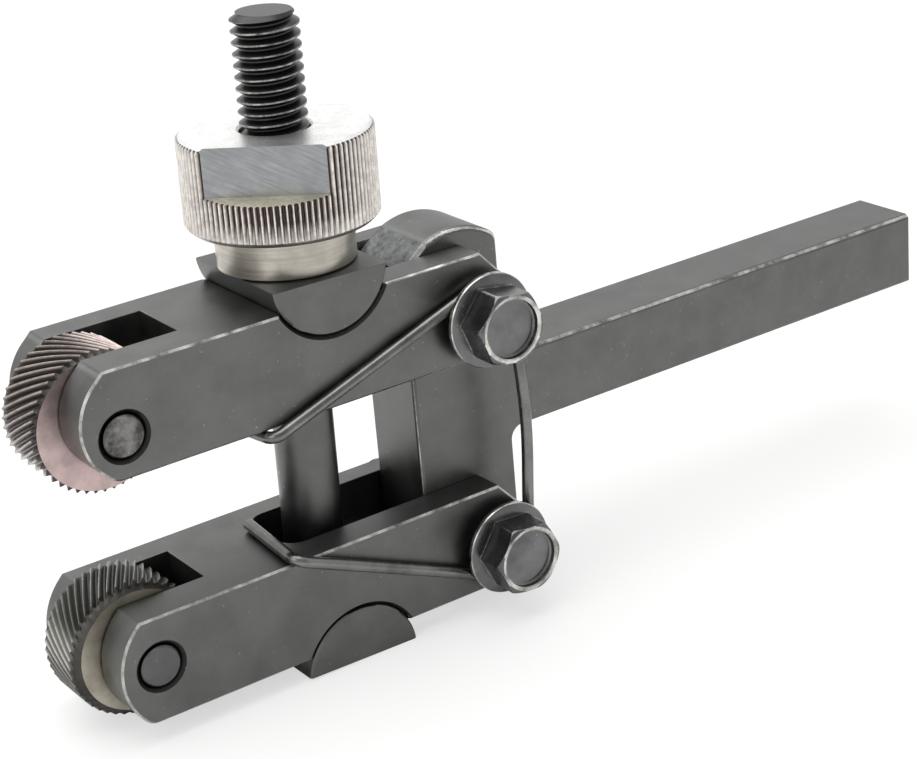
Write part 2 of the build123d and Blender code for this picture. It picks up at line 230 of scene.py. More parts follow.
def eased_copy(node, name, edge_round):
    # The solid's own shape, with its outer corners eased as a stone or a file leaves them.
    # The eased strips take the piece's second finish.
    shape = bmesh.new()
    shape.from_mesh(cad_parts[node].data)
    bmesh.ops.remove_doubles(shape, verts=shape.verts, dist=merge_distance * mm)
    bmesh.ops.dissolve_limit(shape, angle_limit=flat_angle, verts=shape.verts, edges=shape.edges)
    corners = [
        e for e in shape.edges
        if len(e.link_faces) == 2 and e.is_convex and e.calc_face_angle() > corner_angle
    ]
    bmesh.ops.bevel(shape, geom=corners, offset=edge_round * mm, offset_type="OFFSET", segments=2,
                    profile=0.5, affect="EDGES", material=1, clamp_overlap=True)
    piece = link_piece(name, shape)
    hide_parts(node)
    return piece


def is_chamfer(face):
    # A chamfer lies at 45 degrees, so it looks half to the side.
    return chamfer_normal[0] < abs(face.normal.y) < chamfer_normal[1]


blackened = steel_finish("blackened_steel", black_oxide, 0.40)
rubbed = steel_finish("rubbed_edge", (0.34, 0.34, 0.33), 0.34, mottle=0.6, cloud_scale=420.0)
bare_head = steel_finish("rubbed_head", (0.48, 0.48, 0.47), 0.34, mottle=0.5, cloud_scale=300.0)
rough_facet = steel_finish("rough_facet", (0.12, 0.125, 0.125), 0.42, grain=1100.0, depth=0.12,
                           mottle=0.4, cloud_scale=900.0)
holder = eased_copy("tool_holder", "holder_bar_and_body", holder_edge_round)
smooth_sides(holder)
finish_piece(holder, "blackened_steel", "holder", blackened, rubbed, bare_head, rough_facet)
for face in holder.data.polygons:
    if is_chamfer(face):
        face.material_index = 1
    # The head's near rim is rubbed most, and its facet faces up and forward.
    if face.center.z > upper_pivot.z * mm:
        if is_chamfer(face) and face.normal.y < 0:
            face.material_index = 2
        elif face.normal.x < -facet_normal and face.normal.z > facet_normal:
            face.material_index = 3

# Arms: two milled bars, forked over the body at the rear and over a wheel at the nose.
# Both are blackened and oiled. Their ground faces are smooth and their edges rubbed bright.
arm_edge_round = 0.16
wheel_centre = {
    "upper": Vector((shank_mid_x - 57.1, 0, 21.5)),
    "lower": Vector((shank_mid_x - 56.6, 0, -12.7)),
}
saddle_axis = {
    "upper": Vector((shank_mid_x - 23.8, 0, 35.4)),
    "lower": Vector((shank_mid_x - 25.0, 0, -25.2)),
}
# Least and greatest radius of the strips round a wheel pin's hole and round a saddle's groove, which take
# painted shade.
pin_mouth = (3.0, 4.0)
groove_mouth = (8.9, 9.9)
# Painted shade: near-black steel for the strips that stand where a gap falls dark.
painted_shade_mouth = steel_finish("painted_shade_mouth", (0.03, 0.03, 0.03), 0.5)


def paint_shade_round(piece, axis, band):
    # The eased strips round a groove or a hole are painted near black as shade, for the dark gap there.
    for face in piece.data.polygons:
        out = math.hypot(face.center.x - axis.x * mm, face.center.z - axis.z * mm) / mm
        if face.material_index == 1 and band[0] < out < band[1]:
            face.material_index = 2


for side in ("upper", "lower"):
    arm = eased_copy(side + "_arm", side + "_forked_arm", arm_edge_round)
    smooth_sides(arm)
    finish_piece(arm, "blackened_steel", side + "_arm", blackened, rubbed, painted_shade_mouth)
    for face in arm.data.polygons:
        if is_chamfer(face):
            face.material_index = 1
    # The strips round the saddle's groove and round the wheel pin's hole take painted shade.
    paint_shade_round(arm, saddle_axis[side], groove_mouth)
    paint_shade_round(arm, wheel_centre[side], pin_mouth)

# Knurling wheels: hardened rollers with their teeth cut at 30 degrees, one left and one right.
# The sides are ground bright. The tooth crests, rubbed by use, carry a painted highlight, and the gaps carry
# painted shade. Each turns on a plain pin.
wheel_radius = 10.0
wheel_half_width = 5.0
wheel_bore = 3.05
wheel_rims = {"upper": 0.6, "lower": 1.2}
wheel_rim_steps = (0.0, 0.35, 0.7, 1.0)
wheel_land = 0.15
wheel_rows = 12
wheel_teeth = 45
wheel_tooth_depth = 0.6
helix_angle = math.radians(30)
wheel_helix = math.tan(helix_angle) / wheel_radius
tooth_crest_share = 0.10
tooth_root_share = 0.16
# The share of a tooth's height below which the wheel keeps the gaps' painted shade.
tooth_shade_share = 0.6
# Painted highlight on the crests and painted shade in the gaps, for each wheel.
wheel_crest_highlight = {"upper": (0.46, 0.39, 0.36), "lower": (0.27, 0.265, 0.245)}
wheel_gap_shade = {"upper": (0.035, 0.03, 0.028), "lower": (0.055, 0.055, 0.05)}
weld_distance = 0.0005
# How squarely a face of the wheel's side and one of its bevel look along the axis.
side_normal = 0.9
bevel_normal = 0.45


def ridged_outline(count, crest, depth, crest_share, root_share):
    # Angle and outermost radius of each column of vertices, four to a tooth.
    columns = []
    flank = (1 - crest_share - root_share) / 2
    for tooth in range(count):
        for share, radius in (
            (0, crest),
            (crest_share, crest),
            (crest_share + flank, crest - depth),
            (crest_share + flank + root_share, crest - depth),
        ):
            columns.append(((tooth + share) * math.tau / count, radius))
    return columns


def turned_rings(columns, rings):
    # One ring of vertices is drawn out step by step, each step held inside its own radius,
    # and out to its least one where it has one.
    shape = bmesh.new()
    bmesh.ops.create_circle(shape, cap_ends=False, radius=1, segments=len(columns))
    shape.verts.ensure_lookup_table()
    ring_verts = list(shape.verts)
    ring_edges = list(shape.edges)
    order = {v: i for i, v in enumerate(ring_verts)}
    for step, (height, limit, turn, *least) in enumerate(rings):
        if step:
            grown = bmesh.ops.extrude_edge_only(shape, edges=ring_edges)["geom"]
            fresh = [g for g in grown if isinstance(g, bmesh.types.BMVert)]
            ring_edges = [
                g for g in grown
                if isinstance(g, bmesh.types.BMEdge) and g.verts[0] in fresh and g.verts[1] in fresh
            ]
            old = {}
            for v in fresh:
                for e in v.link_edges:
                    other = e.other_vert(v)
                    if other in order:
                        old[v] = order[other]
            order = old
        for v, index in order.items():
            angle, outer = columns[index]
            radius = max([min(outer, limit), *least])
            v.co = Vector((radius * math.cos(angle + turn), radius * math.sin(angle + turn), height)) * mm
    bmesh.ops.remove_doubles(shape, verts=shape.verts, dist=weld_distance * mm)
    return shape


def ground_steel(name, tint, rough):
    # Bright steel with a fine ground grain.
    material, nodes, links, shader = node_tree(name)
    cloud = pattern(nodes, links, scale=350.0, detail=3.0)
    grain = pattern(nodes, links, scale=3000.0, detail=2.0)
    dark, light = shades(tint, 0.8, 1.15)
    colour = blend_colours(nodes, links, spread(nodes, links, cloud, *noise_middle), dark, light)
    metal_surface(nodes, links, shader, colour, rough, grain, strength=0.4, depth=0.01)
    return material


def toothed_steel(name, shade_tint, highlight_tint, rough, centre, axis, root, crest, least=0.55):
    # Painted shade in the gaps and a painted highlight on the crests: dark at the roots and bright at the
    # crests, by distance from the axis.
    material, nodes, links, shader = node_tree(name)
    where = nodes.new("ShaderNodeTexCoord")
    off = nodes.new("ShaderNodeVectorMath")
    off.operation = "SUBTRACT"
    off.inputs[1].default_value = centre
    across = nodes.new("ShaderNodeVectorMath")
    across.operation = "CROSS_PRODUCT"
    across.inputs[1].default_value = axis
    far = nodes.new("ShaderNodeVectorMath")
    far.operation = "LENGTH"
    links.new(where.outputs["Object"], off.inputs[0])
    links.new(off.outputs[0], across.inputs[0])
    links.new(across.outputs[0], far.inputs[0])
    height = spread(nodes, links, far.outputs["Value"], root * mm, crest * mm)
    patches = pattern(nodes, links, scale=900.0, detail=3.0)
    cloud = spread(nodes, links, patches, *noise_wide, least)
    grain = pattern(nodes, links, scale=3500.0, detail=2.0)
    share = math_node(nodes, links, "MULTIPLY", height, cloud)
    colour = blend_colours(nodes, links, share, shade_tint, highlight_tint)
    metal_surface(nodes, links, shader, colour, rough, grain, strength=0.4, depth=0.012)
    return material


def cut_steel(name, tint, rough, stretch, tilt=(0, 0, 0)):
    # Bare steel with the fine lines that a lathe or a mill leaves, long along the stretched axes.
    material, nodes, links, shader = node_tree(name)
    patches = pattern(nodes, links, scale=300.0, detail=4.0)
    cloud = spread(nodes, links, patches, 0.2, 0.6)
    lines = pattern(nodes, links, scale=2600.0, detail=3.0, stretch=stretch, tilt=tilt)
    dark, light = shades(tint, 0.78, 1.12)
    share = math_node(nodes, links, "MULTIPLY", cloud, spread(nodes, links, lines, 0.3, 0.6))
    colour = blend_colours(nodes, links, share, dark, light)
    metal_surface(nodes, links, shader, colour, rough, lines, strength=0.5, depth=0.012)
    return material


ground_side = {
    "upper": ground_steel("upper_wheel_side", (0.46, 0.36, 0.35), 0.42),
    "lower": ground_steel("lower_wheel_side", (0.41, 0.38, 0.315), 0.42),
}
dark_bevel = steel_finish("wheel_bevel", (0.055, 0.052, 0.048), 0.42, mottle=0.3)
for side, hand in (("upper", -1), ("lower", 1)):
    wheel_rim = wheel_rims[side]
    rim_foot = wheel_radius - wheel_rim
    side_radius = rim_foot - wheel_land
    rim_steps = [(wheel_rim * share, rim_foot + wheel_rim * share) for share in wheel_rim_steps]
    rings = [(-wheel_half_width, wheel_bore, 0), (-wheel_half_width, side_radius, 0)]
    for inward, radius in rim_steps:
        rings.append((-wheel_half_width + inward, radius, inward * wheel_helix))
    span = 2 * (wheel_half_width - wheel_rim)
    for row in range(1, wheel_rows):
        rise = wheel_rim + span * row / wheel_rows
        rings.append((-wheel_half_width + rise, wheel_radius, rise * wheel_helix))
    for inward, radius in reversed(rim_steps):
        turn = (2 * wheel_half_width - inward) * wheel_helix
        rings.append((wheel_half_width - inward, radius, turn))
    full_turn = 2 * wheel_half_width * wheel_helix
    rings.append((wheel_half_width, side_radius, full_turn))
    rings.append((wheel_half_width, wheel_bore, full_turn))
    rings = [(height, limit, hand * turn) for height, limit, turn in rings]
    columns = ridged_outline(wheel_teeth, wheel_radius, wheel_tooth_depth, tooth_crest_share,
                             tooth_root_share)
    shape = turned_rings(columns, rings)
    # The bore joins the two sides.
    ends = [e for e in shape.edges if e.is_boundary]
    bmesh.ops.bridge_loops(shape, edges=ends)
    centre = wheel_centre[side]
    shape.transform(Matrix.Translation(centre * mm) @ Matrix.Rotation(math.radians(-90), 4, "X"))
    wheel = link_piece(side + "_wheel", shape)
    smooth_sides(wheel, 24.0)
    shade_up_to = wheel_radius - (1 - tooth_shade_share) * wheel_tooth_depth
    teeth = toothed_steel(side + "_wheel_teeth_painted_light", wheel_gap_shade[side], wheel_crest_highlight[side], 0.33,
                          centre * mm, (0, 1, 0), shade_up_to, wheel_radius)
    finish_piece(wheel, "wheel_steel", side + "_wheel", teeth, ground_side[side], dark_bevel)
    for face in wheel.data.polygons:
        if abs(face.normal.y) > side_normal:
            face.material_index = 1
        elif abs(face.normal.y) > bevel_normal:
            face.material_index = 2
    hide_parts(side + "_knurl_wheel")

# Wheel pins: ground 6 mm dowels pressed through both cheeks, flush with the near face.
# The upper one is smeared bright by the press, and the lower one is blackened.
pin_end_round = 0.3
pin_steel = steel_finish("pressed_pin", (0.13, 0.128, 0.125), 0.38, mottle=0.6, grain=1500.0,
                         depth=0.05, cloud_scale=500.0)
dark_pin = steel_finish("blackened_pin", (0.105, 0.107, 0.108), 0.38)
for side, finish in (("upper", pin_steel), ("lower", dark_pin)):
    pin = eased_copy(side + "_wheel_pin", side + "_pressed_pin", pin_end_round)
    smooth_sides(pin)
    # The pin's eased ends take painted shade, for the dark gap round the pin in the cheek.
    finish_piece(pin, "pin_steel", side + "_arm", finish, painted_shade_mouth)

# Pivot bolts: M6 flanged hexagon bolts with a dished head, each on a sleeve that the arm turns on.
# Bolt, sleeve, washer and nut are blackened and wet with oil, so they shine on every corner.
bolt_radius = 3.0
bolt_pitch = 1.0
bolt_root = 2.4
bolt_thread_length = 13.0
# How far above the thread's end the plain body stops, and how far below it is at the root.
bolt_runout = (0.2, 0.3)
bolt_end_y = 21.6
seat_y = -13.4
flange_height = 1.2
# The flange's profile, as radius and height of each corner from the seat upwards.
flange_profile = ((6.8, 0), (7.0, 0.15), (7.0, 0.65), (6.88, 0.8), (5.4, 1.2), (2.0, 1.2))
hex_half = 5.0
hex_sunk = 0.4
body_sunk = 0.2
hex_turn = {"upper": 9.0, "lower": 4.0}
head_height = 5.9
face_radius = 4.75
crown_swell = 1.1
crown_steps = 10
mouth_round = 1.5
dish_radius = 4.35
# The dish's profile, as steps inward from its radius and down from the head's face.
dish_profile = ((-0.2, 0), (0, 0.12), (0.1, 0.75), (0.35, 0.9), (3.15, 0.9))
# The rims painted bright as a highlight: between the dish and the crown, and round the flange.
face_rim = (4.3, 5.0)
face_rim_depth = 0.2
flange_rim = 6.85
# Wider than any piece, so that a ring's own radius holds.
no_limit = 99.0
thread_shares = (0.06, 0.44, 0.56, 0.94)


def round_outline(columns):
    return [(index * math.tau / columns, no_limit) for index in range(columns)]


def hexagon_outline(half, columns, turn):
    outline = []
    for index in range(columns):
        angle = index * math.tau / columns
        off = (angle - turn) % (math.tau / 6) - math.tau / 12
        outline.append((angle, half / math.cos(off)))
    return outline


def fill_ends(shape):
    bmesh.ops.holes_fill(shape, edges=[e for e in shape.edges if e.is_boundary])
    return shape


def helix_thread(crest, root, pitch, low, high, steps):
    # The outline of the whole row of crests is swung once round, rising by one pitch.
    shape = bmesh.new()
    count = int(round((high - low) / pitch)) + 2
    start = low - pitch
    before = None
    strip = []
    for index in range(count):
        base = start + index * pitch
        for share, radius in zip(thread_shares, (root, crest, crest, root)):
            v = shape.verts.new(Vector((radius, 0, base + share * pitch)) * mm)
            if before:
                strip.append(shape.edges.new((before, v)))
            before = v
    bmesh.ops.spin(shape, geom=list(shape.verts) + strip, cent=(0, 0, 0), axis=(0, 0, 1),
                   dvec=Vector((0, 0, pitch / steps)) * mm, angle=math.tau, steps=steps)
    bmesh.ops.remove_doubles(shape, verts=shape.verts, dist=merge_distance * mm)
    for height, way in ((low, -1), (high, 1)):
        cut = bmesh.ops.bisect_plane(
            shape, geom=shape.verts[:] + shape.edges[:] + shape.faces[:],
            plane_co=Vector((0, 0, height)) * mm, plane_no=(0, 0, way), clear_outer=True,
        )
        rim = [g for g in cut["geom_cut"] if isinstance(g, bmesh.types.BMEdge)]
        bmesh.ops.contextual_create(shape, geom=rim)
    return shape


def join_shapes(first, second):
    # Adds the second shape's shell to the first.
    mesh = bpy.data.meshes.new("shell")
    second.to_mesh(mesh)
    second.free()
    first.from_mesh(mesh)
    bpy.data.meshes.remove(mesh)
    return first


oiled = steel_finish("oiled_black_bolt", (0.135, 0.137, 0.14), 0.26, worn=0.6, edge_width=0.25,
                     bright=(0.62, 0.61, 0.58), mottle=0.25)
painted_highlight_rim = steel_finish("bolt_rim_painted_highlight", (0.42, 0.42, 0.40), 0.24, mottle=0.5, cloud_scale=420.0)
for side, pivot in (("upper", upper_pivot), ("lower", lower_pivot)):
    crown = []
    for step in range(crown_steps + 1):
        angle = math.radians(90 * step / crown_steps)
        height = head_height - mouth_round * (1 - math.sin(angle))
        crown.append((height, face_radius + crown_swell * math.cos(angle), 0))
    dish = [(head_height - down, dish_radius - inward, 0) for inward, down in dish_profile]
    hexagon = hexagon_outline(hex_half, 144, math.radians(-hex_turn[side]))
    head = fill_ends(turned_rings(hexagon, [(flange_height - hex_sunk, no_limit, 0), *crown, *dish]))
    flange = fill_ends(turned_rings(round_outline(96), [
        (0, bolt_radius, 0), *((height, radius, 0) for radius, height in flange_profile),
    ]))
    shape = join_shapes(head, flange)
    length = bolt_end_y - seat_y
    thread_top = bolt_thread_length - length
    body = fill_ends(turned_rings(round_outline(48), [
        (body_sunk, bolt_radius, 0),
        (thread_top + bolt_runout[0], bolt_radius, 0),
        (thread_top - bolt_runout[1], bolt_root, 0),
    ]))
    shape = join_shapes(shape, body)
    thread = helix_thread(bolt_radius, bolt_root, bolt_pitch, -length, thread_top, steps=28)
    shape = join_shapes(shape, thread)
    place = Matrix.Translation(Vector((pivot.x, seat_y, pivot.z)) * mm)
    shape.transform(place @ Matrix.Rotation(math.radians(90), 4, "X"))
    bolt = link_piece(side + "_flanged_bolt", shape)
    smooth_sides(bolt, 30.0)
    finish_piece(bolt, "bolt_steel", "holder", oiled, painted_highlight_rim)
    # The rims of the face and of the flange take the painted highlight.
    for face in bolt.data.polygons:
        out = Vector((face.center.x - pivot.x * mm, face.center.z - pivot.z * mm)).length / mm
        along = seat_y - face.center.y / mm
        rim_of_face = face_rim[0] < out < face_rim[1] and along > head_height - face_rim_depth
        rim_of_flange = out > flange_rim and 0 < along < flange_height
        if rim_of_face or rim_of_flange:
            face.material_index = 1
    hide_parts(side + "_pivot_bolt")
    for part in ("_pivot_sleeve", "_pivot_washer", "_pivot_nut"):
        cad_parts[side + part].material_slots[0].material = oiled

# Return spring: one length of 1.75 mm spring wire, wrapped behind both bolt heads.
# Its two legs hook over the arms' inner faces and push them apart. Dark drawn wire, shiny.
wire_radius = 0.875
wire_sides = 20
wire_y = -12.4
wrap_radius = 4.9
wrap_steps = 20
hook_bend_radius = 1.8
hook_steps = 14
hook_gap = 0.12
hook_x = {"upper": shank_mid_x - 36.0, "lower": shank_mid_x - 34.9}
arm_inner_z = {"upper": 15.5, "lower": -5.3}
hook_z = {
    "upper": arm_inner_z["upper"] - wire_radius - hook_gap,
    "lower": arm_inner_z["lower"] + wire_radius + hook_gap,
}
# How far each hook's cut end lies across the tool and along it from the hook's bend.
hook_reach = {"upper": (14.0, -2.4), "lower": (14.8, 1.2)}
link_overlap = math.radians(25)
link_overlap_steps = 6
link_radius = wire_radius - 0.01
link_bow = 0.9
link_steps = 16


def wire_start(centre, along, radius):
    shape = bmesh.new()
    bmesh.ops.create_circle(shape, cap_ends=False, radius=radius * mm, segments=wire_sides)
    turn = along.to_track_quat("Z", "Y").to_matrix().to_4x4()
    shape.transform(Matrix.Translation(centre * mm) @ turn)
    return shape, list(shape.edges)


def wire_run(shape, ring, along):
    grown = bmesh.ops.extrude_edge_only(shape, edges=ring)["geom"]
    fresh = [g for g in grown if isinstance(g, bmesh.types.BMVert)]
    bmesh.ops.translate(shape, verts=fresh, vec=along * mm)
    keep = set(fresh)
    return [g for g in grown if isinstance(g, bmesh.types.BMEdge) and set(g.verts) <= keep]


def wire_bend(shape, ring, centre, axis, angle, steps):
    verts = list({v for e in ring for v in e.verts})
    swung = bmesh.ops.spin(shape, geom=verts + ring, cent=centre * mm, axis=axis, dvec=(0, 0, 0),
                           angle=angle, steps=steps)["geom_last"]
    return [g for g in swung if isinstance(g, bmesh.types.BMEdge)]


def spring_leg(up, pivot, bend, hook_tip):
    # From the rightmost point of the wrap, over the back of the sleeve, to the hook's cut end.
    out_x = pivot.x - bend.x
    out_z = up * (pivot.z - bend.z)
    slope = math.atan2(out_z, out_x) + math.asin(wrap_radius / math.hypot(out_x, out_z))
    start = Vector((pivot.x + wrap_radius, wire_y, pivot.z))
    shape, ring = wire_start(start, Vector((0, 0, up)), wire_radius)
    sweep = math.radians(90) + slope
    ring = wire_bend(shape, ring, Vector((pivot.x, wire_y, pivot.z)), (0, -up, 0), sweep, wrap_steps)
    leave = Vector((pivot.x - wrap_radius * math.sin(slope), wire_y,
                    pivot.z + up * wrap_radius * math.cos(slope)))
    leg = (bend - leave).normalized()
    hook = (hook_tip - bend).normalized()
    corner = leg.angle(hook)
    back_off = hook_bend_radius * math.tan(corner / 2)
    ring = wire_run(shape, ring, (bend - leave) - leg * back_off)
    axis = leg.cross(hook).normalized()
    centre = bend - leg * back_off + axis.cross(leg) * hook_bend_radius
    ring = wire_bend(shape, ring, centre, axis, corner, hook_steps)
    wire_run(shape, ring, hook_tip - bend - hook * back_off)
    return fill_ends(shape)


spring_wire = steel_finish("spring_wire", (0.16, 0.16, 0.155), 0.27, mottle=0.3, grain=2500.0)
for side, pivot, up in (("upper", upper_pivot, 1), ("lower", lower_pivot, -1)):
    bend = Vector((hook_x[side], wire_y, hook_z[side]))
    reach, splay = hook_reach[side]
    tip = Vector((hook_x[side] + splay, wire_y + reach, hook_z[side]))
    leg = link_piece(side + "_spring_leg", spring_leg(up, pivot, bend, tip))
    smooth_sides(leg, 40.0)
    finish_piece(leg, "spring_wire", side + "_arm", spring_wire)
    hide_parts("return_spring")

# The link runs down behind the two wraps, and bows a little outward between them.
start = Vector((shank_mid_x + wrap_radius * math.cos(link_overlap), wire_y,
                upper_pivot.z + wrap_radius * math.sin(link_overlap)))
first_way = Vector((math.sin(link_overlap), 0, -math.cos(link_overlap)))
shape, ring = wire_start(start, first_way, link_radius)
ring = wire_bend(shape, ring, Vector((shank_mid_x, wire_y, upper_pivot.z)), (0, 1, 0),
                 link_overlap, link_overlap_steps)
link_length = upper_pivot.z - lower_pivot.z
for step in range(link_steps):
    here = link_bow * math.sin(math.pi * step / link_steps) ** 2
    there = link_bow * math.sin(math.pi * (step + 1) / link_steps) ** 2
    ring = wire_run(shape, ring, Vector((there - here, 0, -link_length / link_steps)))
wire_bend(shape, ring, Vector((shank_mid_x, wire_y, lower_pivot.z)), (0, 1, 0),
          link_overlap, link_overlap_steps)
link = link_piece("spring_link", fill_ends(shape))
smooth_sides(link, 40.0)
finish_piece(link, "spring_wire", "holder", spring_wire)
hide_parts("return_spring")

# Saddles: half-round blocks that rock in the arms' grooves, blackened like the arms.
# They keep the screw and the nut square to each other as the arms swing.
saddle_edge_round = 0.15
for side in ("upper", "lower"):
    saddle = eased_copy(side + "_saddle", side + "_half_round_saddle", saddle_edge_round)
    smooth_sides(saddle)
    finish_piece(saddle, "saddle_steel", side + "_saddle", blackened, rubbed, painted_shade_mouth)
    # The strip along the saddle's curve takes painted shade, for the gap in its groove.
    paint_shade_round(saddle, saddle_axis[side], groove_mouth)

# Clamp screw: a 3/8 in bar with a rolled thread above, keyed into the lower saddle by a 2 mm pin.
# It is blackened. The thread's crests, rubbed by the nut, carry a painted highlight, and its roots carry
# painted shade.
clamp_line = saddle_axis["upper"] - saddle_axis["lower"]
clamp_way = clamp_line.normalized()
clamp_lean = math.atan2(clamp_line.x, clamp_line.z)
clamp_place = Matrix.Translation(saddle_axis["lower"] * mm) @ Matrix.Rotation(clamp_lean, 4, "Y")
saddle_flat = 1.2
nut_seat = clamp_line.length - saddle_flat
nut_total = 19.2
screw_above_nut = 16.0
screw_top = nut_seat + nut_total + screw_above_nut
screw_point = 0.9
thread_crest = 4.7625
thread_root = 3.79
# Painted shade and highlight: the thread is black up to the first radius, and painted bright at the second.
crest_highlight_band = (4.65, 4.79)
thread_pitch = 1.5875
thread_length = 43.7
thread_low = screw_top - thread_length
shank_radius = 4.4
foot_radius = 6.4
# Heights above the saddle's flat where the foot's wall ends and where its slope ends.
foot_wall = 0.6
foot_slope = 2.6
screw_core = 0.5
# Heights above the thread's foot where the plain part begins to narrow and where it ends.
runout_start = 0.8
runout_end = 1.4
plain_margin = 0.5

shape = fill_ends(turned_rings(round_outline(64), [
    (saddle_flat, screw_core, 0),
    (saddle_flat, foot_radius, 0),
    (saddle_flat + foot_wall, foot_radius, 0),
    (saddle_flat + foot_slope, shank_radius, 0),
    (thread_low + runout_start, shank_radius, 0),
    (thread_low + runout_end, thread_root, 0),
    (thread_low + runout_end, screw_core, 0),
]))
thread = helix_thread(thread_crest, thread_root, thread_pitch, thread_low, screw_top, steps=48)
point = (screw_top - screw_point) * mm
for v in thread.verts:
    if v.co.z > point:
        limit = thread_crest * mm - (v.co.z - point)
        out = math.hypot(v.co.x, v.co.y)
        if out > limit:
            v.co.x *= limit / out
            v.co.y *= limit / out
shape = join_shapes(shape, thread)
shape.transform(clamp_place)
screw = link_piece("threaded_screw", shape)
smooth_sides(screw, 32.0)
# Painted shade in the thread's roots and a painted highlight on its crests.
screw_painted_light = toothed_steel("blackened_screw_painted_light", (0.045, 0.045, 0.046), (0.58, 0.57, 0.54), 0.32,
                            saddle_axis["lower"] * mm, clamp_way, *crest_highlight_band, least=0.1)
shank_black = steel_finish("blackened_shank", (0.12, 0.12, 0.119), 0.36)
finish_piece(screw, "screw_steel", "lower_saddle", screw_painted_light, shank_black)
into_screw = clamp_place.inverted()
for face in screw.data.polygons:
    if (into_screw @ face.center).z < (thread_low + plain_margin) * mm:
        face.material_index = 1
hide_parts("clamp_screw")
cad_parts["screw_key_pin"].material_slots[0].material = blackened

# Clamp nut: turned bright steel, with a round collar, straight knurling and two milled spanner flats.
# It is left bare. The knurl carries a painted highlight on its crests and painted shade in its gaps, and the
# faces that look up, the top and the ledges, are painted light, the top nearly white.
collar_radius = 9.8
collar_height = 6.0
collar_edge = 0.25
nut_radius = 13.65
nut_ridges = 98
ridge_depth = 0.45
ridge_crest_share = 0.2
ridge_root_share = 0.28
# The knurl begins this shallow at the head's lower rim, and is at its full depth this far up.
ridge_start_depth = 0.12
ridge_full_height = 3.2
nut_rim = 0.7
# Half way round the rim: this far along, this far inside the crests, and in the gaps above.
nut_rim_middle = 0.35
nut_rim_inset = 0.33
nut_rim_gap_inset = 0.36
nut_bore = 4.95
bore_flare = 0.6
# Width and height of the broken edge at the bore's top.
bore_break = (0.35, 0.4)
bore_wall = 1.0
seat_gap = 0.02
flat_reach = 10.15
flat_depth = 6.9
# Thickness and length of the block that cuts a flat, and how much its foot falls outward.
flat_cutter = (6, 40)
ledge_fall = 0.15
flat_direction = math.radians(229.8)
# How much the mill's lines fall along the flat.
mill_slant = -0.5
top_band = 1.0
faces_up = 0.3
faces_down = -0.6
gap_margin = 0.05
crest_margin = 0.08

columns = ridged_outline(nut_ridges, nut_radius, ridge_depth, ridge_crest_share, ridge_root_share)
nut = link_piece("knurled_nut", turned_rings(columns, [
    (seat_gap, nut_bore + bore_flare, 0),
    (seat_gap, collar_radius - collar_edge, 0),
    (collar_edge, collar_radius, 0),
    (collar_height, collar_radius, 0),
    (collar_height, nut_radius - nut_rim, 0),
    (collar_height + nut_rim_middle, nut_radius - nut_rim_inset, 0, nut_radius - nut_rim_inset),
    (collar_height + nut_rim, nut_radius, 0, nut_radius - ridge_start_depth),
    (collar_height + ridge_full_height, nut_radius, 0),
    (nut_total - nut_rim, nut_radius, 0),
    (nut_total - nut_rim_middle, nut_radius - nut_rim_inset, 0, nut_radius - nut_rim_gap_inset),
    (nut_total, nut_radius - nut_rim, 0),
    (nut_total, nut_bore + bore_break[0], 0),
    (nut_total - bore_break[1], nut_bore, 0),
    (bore_flare, nut_bore, 0),
    (seat_gap, nut_bore + bore_flare, 0),
]))
for way in (1, -1):
    cutter_shape = bmesh.new()
    bmesh.ops.create_cube(cutter_shape, size=1)
    cutter_size = Vector((*flat_cutter, 2 * flat_depth)) * mm
    bmesh.ops.scale(cutter_shape, vec=cutter_size, verts=cutter_shape.verts)
    spot = Vector((way * (flat_reach + flat_cutter[0] / 2), 0, nut_total)) * mm
    bmesh.ops.translate(cutter_shape, vec=spot, verts=cutter_shape.verts)
    for v in cutter_shape.verts:
        if v.co.z < nut_total * mm:
            v.co.z -= max(0, way * v.co.x - flat_reach * mm) * ledge_fall
    cutter_shape.transform(Matrix.Rotation(flat_direction, 4, "Z"))
    cutter = link_piece("flat_cutter", cutter_shape)
    cut = nut.modifiers.new("flat", "BOOLEAN")
    cut.operation = "DIFFERENCE"
    cut.solver = "EXACT"
    cut.object = cutter
    bpy.context.view_layer.update()
    shaped = bpy.data.meshes.new_from_object(nut.evaluated_get(bpy.context.evaluated_depsgraph_get()))
    nut.modifiers.clear()
    nut.data = shaped
    bpy.data.objects.remove(cutter)
nut_place = clamp_place @ Matrix.Translation(Vector((0, 0, nut_seat)) * mm)
nut.data.transform(nut_place)
smooth_sides(nut, 22.0)
along_flat = Vector((-math.sin(flat_direction), math.cos(flat_direction), mill_slant)).normalized()
out_of_flat = Vector((math.cos(flat_direction), math.sin(flat_direction), 0))
mill_tilt = Matrix((along_flat, out_of_flat.cross(along_flat), out_of_flat)).transposed().to_euler()
# The knurl's finish paints shade in its gaps and a highlight on its crests. The top and the ledge finishes
# are painted light.
finish_piece(
    nut, "nut_steel", "clamp_nut",
    toothed_steel("knurled_steel_painted_light", (0.055, 0.04, 0.034), (0.82, 0.78, 0.74), 0.32, saddle_axis["lower"] * mm,
                  clamp_way, nut_radius - ridge_depth, nut_radius - crest_margin),
    cut_steel("faced_top_painted_light", (0.93, 0.92, 0.90), 0.36, (1, 1, 1)),
    cut_steel("milled_flat", (0.29, 0.30, 0.31), 0.34, (14, 1, 2), mill_tilt),
    cut_steel("turned_collar", (0.42, 0.395, 0.35), 0.30, (30, 30, 1), (0, clamp_lean, 0)),
    cut_steel("milled_ledge_painted_light", (0.78, 0.73, 0.58), 0.40, (14, 1, 2), mill_tilt),
)
into_nut = nut_place.inverted()
